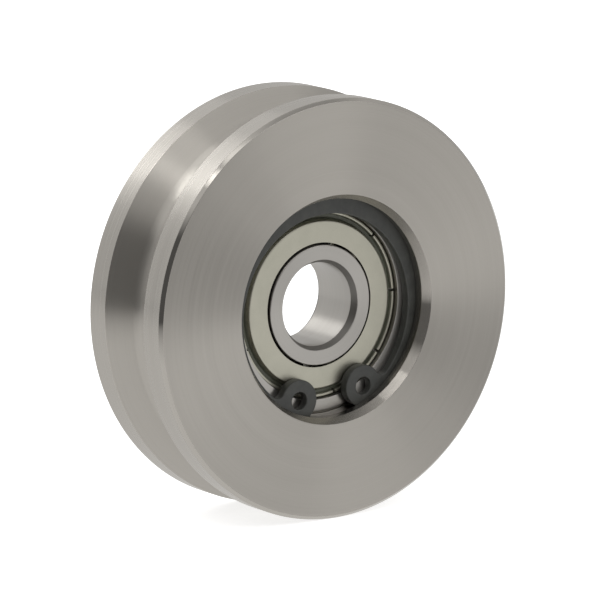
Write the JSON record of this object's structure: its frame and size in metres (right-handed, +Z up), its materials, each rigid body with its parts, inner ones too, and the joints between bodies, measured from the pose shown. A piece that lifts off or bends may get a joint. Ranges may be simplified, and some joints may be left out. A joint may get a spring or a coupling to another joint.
{
  "type": "round belt roller",
  "caption": "Grooved steel roller for a round belt, on a shielded ball bearing held in its bore by an internal retaining ring, open for a shaft.",
  "frame": {"origin": "centre of the roller and of its bearing, on the axis half way between the two faces", "axes": "+Y along the axis towards the rear face, -Y towards the open recess with the retaining ring, +Z up"},
  "size_m": [0.05, 0.015, 0.05],
  "materials": {
    "turned_steel": "turned, satin",
    "bearing_steel": "ground",
    "ball_steel": "polished",
    "cage_steel": "pressed, bright",
    "shield_steel": "pressed, satin",
    "black_spring_steel": "black oxide, satin"
  },
  "bodies": {
    "hub": {"bearing_inner_ring": "bearing_steel"},
    "roller": {"roller_body": "turned_steel", "bearing_outer_ring": "bearing_steel", "front_shield": "shield_steel", "rear_shield": "shield_steel", "retaining_ring": "black_spring_steel"},
    "cage": {"front_cage_half": "cage_steel", "rear_cage_half": "cage_steel", "cage_rivets": "cage_steel"},
    "ball_1": {"ball_1": "ball_steel"},
    "ball_2": {"ball_2": "ball_steel"},
    "ball_3": {"ball_3": "ball_steel"},
    "ball_4": {"ball_4": "ball_steel"},
    "ball_5": {"ball_5": "ball_steel"},
    "ball_6": {"ball_6": "ball_steel"},
    "ball_7": {"ball_7": "ball_steel"}
  },
  "joints": [
    {"name": "roller_spin", "type": "hinge", "parent": "hub", "child": "roller", "pos_m": [0, 0, 0], "axis": [0, 1, 0], "continuous": true},
    {"name": "cage_spin", "type": "hinge", "parent": "hub", "child": "cage", "pos_m": [0, 0, 0], "axis": [0, 1, 0], "continuous": true},
    {"name": "ball_1_spin", "type": "hinge", "parent": "cage", "child": "ball_1", "pos_m": [0, 0, 0.009], "axis": [0, 1, 0], "continuous": true},
    {"name": "ball_2_spin", "type": "hinge", "parent": "cage", "child": "ball_2", "pos_m": [-0.00704, 0, 0.00561], "axis": [0, 1, 0], "continuous": true},
    {"name": "ball_3_spin", "type": "hinge", "parent": "cage", "child": "ball_3", "pos_m": [-0.00877, 0, -0.002], "axis": [0, 1, 0], "continuous": true},
    {"name": "ball_4_spin", "type": "hinge", "parent": "cage", "child": "ball_4", "pos_m": [-0.0039, 0, -0.00811], "axis": [0, 1, 0], "continuous": true},
    {"name": "ball_5_spin", "type": "hinge", "parent": "cage", "child": "ball_5", "pos_m": [0.0039, 0, -0.00811], "axis": [0, 1, 0], "continuous": true},
    {"name": "ball_6_spin", "type": "hinge", "parent": "cage", "child": "ball_6", "pos_m": [0.00877, 0, -0.002], "axis": [0, 1, 0], "continuous": true},
    {"name": "ball_7_spin", "type": "hinge", "parent": "cage", "child": "ball_7", "pos_m": [0.00704, 0, 0.00561], "axis": [0, 1, 0], "continuous": true}
  ],
  "couplings": [
    {"joint": "cage_spin", "follows": "roller_spin", "ratio": 0.63229},
    {"joint": "ball_1_spin", "follows": "roller_spin", "ratio": 1.7575},
    {"joint": "ball_2_spin", "follows": "roller_spin", "ratio": 1.7575},
    {"joint": "ball_3_spin", "follows": "roller_spin", "ratio": 1.7575},
    {"joint": "ball_4_spin", "follows": "roller_spin", "ratio": 1.7575},
    {"joint": "ball_5_spin", "follows": "roller_spin", "ratio": 1.7575},
    {"joint": "ball_6_spin", "follows": "roller_spin", "ratio": 1.7575},
    {"joint": "ball_7_spin", "follows": "roller_spin", "ratio": 1.7575}
  ]
}
